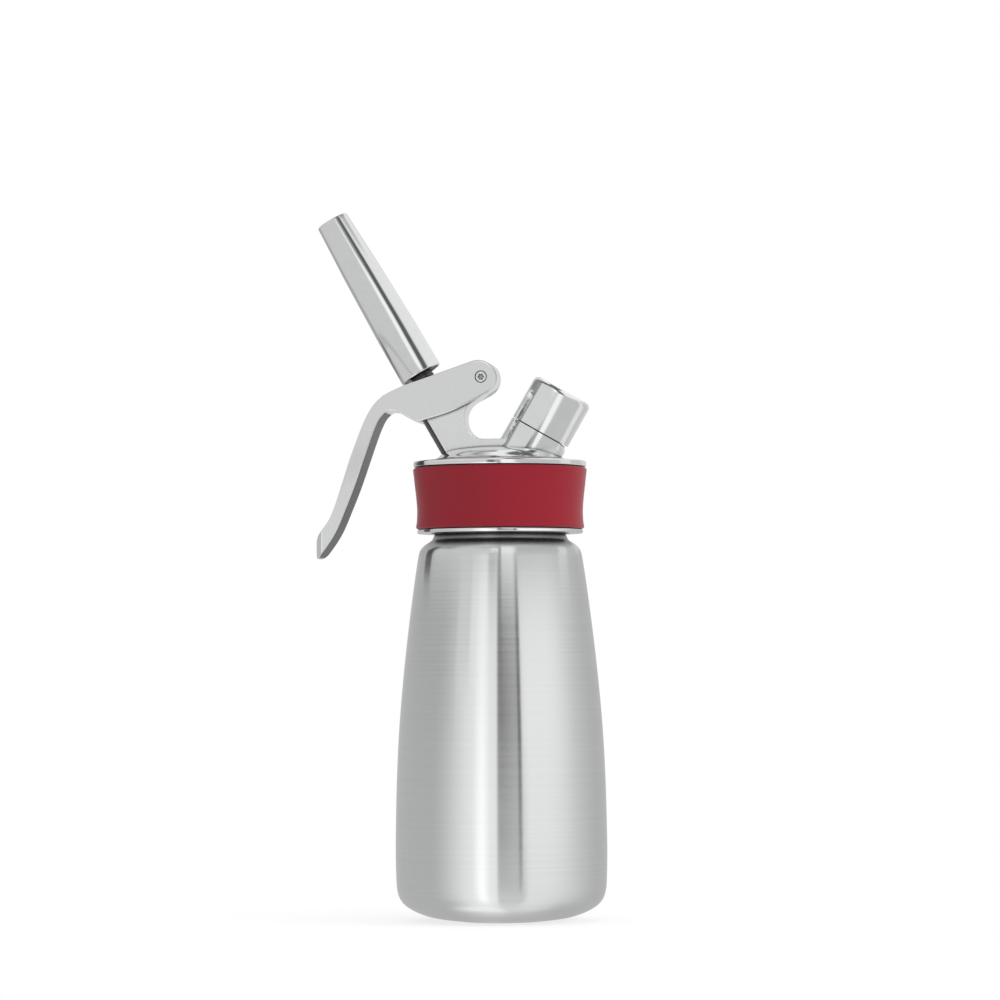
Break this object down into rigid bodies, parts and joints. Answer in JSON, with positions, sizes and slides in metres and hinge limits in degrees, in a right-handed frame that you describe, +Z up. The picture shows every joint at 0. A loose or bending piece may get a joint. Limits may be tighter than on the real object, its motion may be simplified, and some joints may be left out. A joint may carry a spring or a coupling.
{
  "type": "whipped cream dispenser",
  "caption": "Steel bottle with a screw-on head: a lever-worked valve with a slanted nozzle on one side, a capped gas charger port on the other, and a soft grip ring.",
  "frame": {"origin": "centre of the flat disc that the bottle stands on", "axes": "+Z up along the bottle's axis, -X toward the lever and the nozzle, +X toward the charger port, +Y away from the picture's viewer"},
  "size_m": [0.1047, 0.0762, 0.255],
  "materials": {
    "brushed_steel": "fine lengthwise satin brushing",
    "polished_steel": "polished",
    "satin_steel": "satin",
    "spring_steel": "drawn wire",
    "red_silicone": "matte",
    "clear_silicone": "matte, milky",
    "black_rubber": "matte",
    "guide_plastic": "matte"
  },
  "bodies": {
    "bottle_body": {"bottle": "brushed_steel"},
    "head": {"head_casting": "polished_steel", "grip_collar": "red_silicone", "head_gasket": "red_silicone", "pivot_barrel": "satin_steel", "pivot_screw": "satin_steel", "guide_bush": "guide_plastic", "valve_spring": "spring_steel", "pin_carrier": "satin_steel", "piercing_pin": "spring_steel", "charger_gasket": "red_silicone", "check_valve": "clear_silicone"},
    "lever_body": {"lever": "satin_steel"},
    "stem": {"valve_stem": "satin_steel", "stem_collar": "satin_steel", "valve_seal": "clear_silicone", "seal_nut": "satin_steel", "stem_o_ring": "black_rubber"},
    "nozzle_body": {"nozzle": "satin_steel", "nozzle_thread_ring": "satin_steel"},
    "cap": {"port_cap": "polished_steel"}
  },
  "joints": [
    {"name": "head_lift", "type": "slide", "parent": "bottle_body", "child": "head", "axis": [0, 0, 1], "range_m": [0, 0.09]},
    {"name": "lever_pull", "type": "hinge", "parent": "head", "child": "lever_body", "pos_m": [-0.0062, 0, 0.1948], "axis": [0, -1, 0], "range_deg": [0, 10], "stiffness_Nm_per_rad": 0.5, "springref_deg": -17.19},
    {"name": "stem_travel", "type": "slide", "parent": "head", "child": "stem", "axis": [0.5, 0, -0.866], "range_m": [0, 0.0023], "deforming": ["valve_spring"]},
    {"name": "nozzle_off", "type": "slide", "parent": "stem", "child": "nozzle_body", "axis": [-0.5, 0, 0.866], "range_m": [0, 0.03]},
    {"name": "cap_off", "type": "slide", "parent": "head", "child": "cap", "axis": [0.5, 0, 0.866], "range_m": [0, 0.03]}
  ],
  "couplings": [
    {"joint": "stem_travel", "follows": "lever_pull", "m_per_rad": 0.01293}
  ]
}
